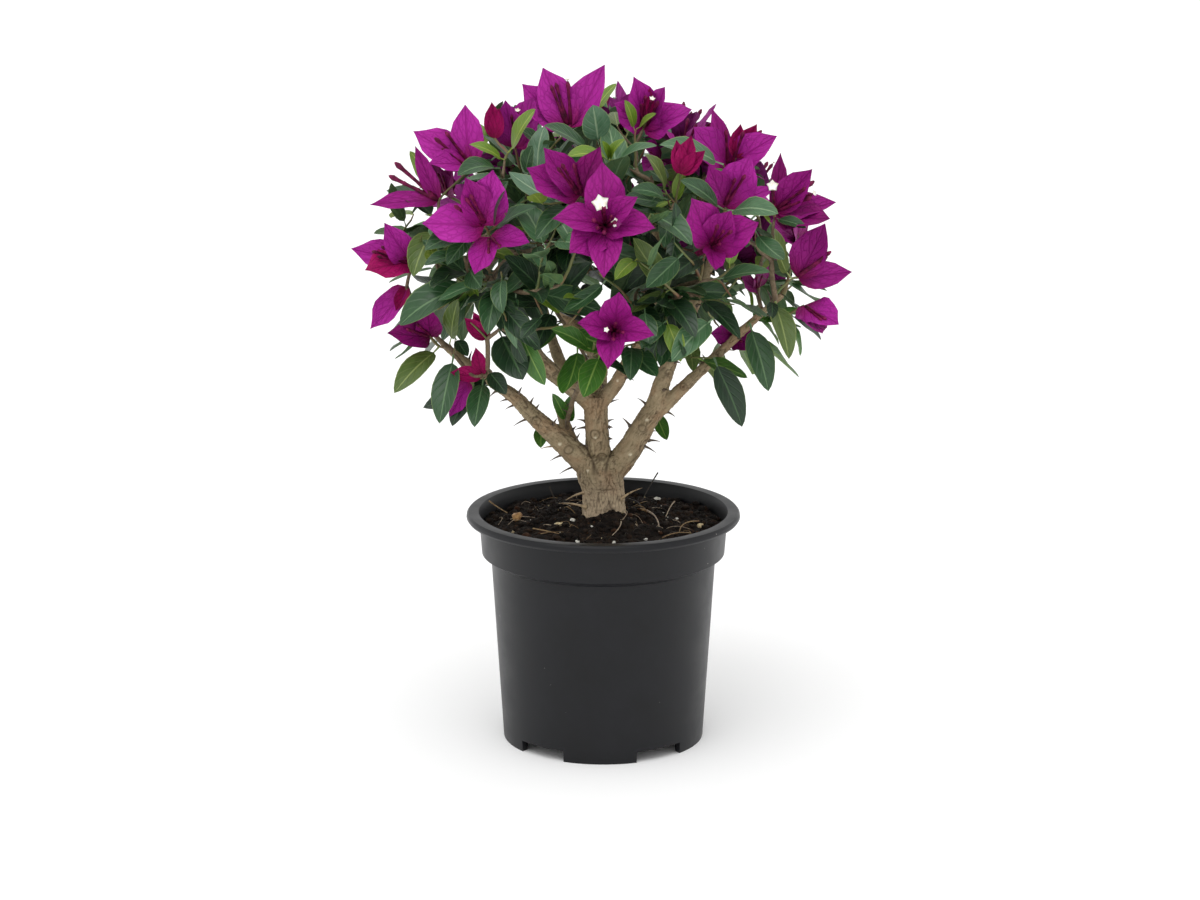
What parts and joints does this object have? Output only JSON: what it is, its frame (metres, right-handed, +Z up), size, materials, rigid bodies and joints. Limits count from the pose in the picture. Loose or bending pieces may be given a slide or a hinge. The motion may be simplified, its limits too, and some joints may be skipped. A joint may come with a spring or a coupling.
{
  "type": "potted bougainvillea shrub",
  "caption": "Round nursery pot of soil with a short thorny trunk forking into boughs under a domed crown of leaves and flower bracts.",
  "frame": {"origin": "on the ground, under the centre of the pot", "axes": "+Z up; -Y is the front, towards the viewer; +X to the viewer's right"},
  "size_m": [0.34, 0.33, 0.472],
  "materials": {
    "pot": "satin black moulded polypropylene",
    "soil": "loose dark peat-based potting soil",
    "bark": "grey-brown finely fissured bark",
    "foliage": "leathery dark green leaves and magenta papery bracts"
  },
  "bodies": {
    "root": {"pot": "pot", "soil": "soil", "trunk": "bark", "back_bough": "bark", "back_left_bough": "bark", "back_right_bough": "bark", "centre_back_bough": "bark", "centre_left_bough": "bark", "centre_right_bough": "bark", "centre_stem": "bark", "left_bough": "bark", "left_side_shoot": "bark", "right_bough": "bark", "right_inner_bough": "bark", "right_outer_bough": "bark", "foliage_back": "foliage", "foliage_back_left": "foliage", "foliage_back_right": "foliage", "foliage_front": "foliage", "foliage_front_left": "foliage", "foliage_front_right": "foliage", "foliage_left": "foliage", "foliage_right": "foliage", "foliage_skirt_back_left": "foliage", "foliage_skirt_back_right": "foliage", "foliage_skirt_left": "foliage", "foliage_skirt_right": "foliage", "foliage_top": "foliage", "foliage_upper_back_left": "foliage", "foliage_upper_back_right": "foliage", "foliage_upper_front": "foliage", "foliage_upper_front_right": "foliage", "foliage_upper_left": "foliage", "foliage_upper_right": "foliage"}
  },
  "joints": []
}
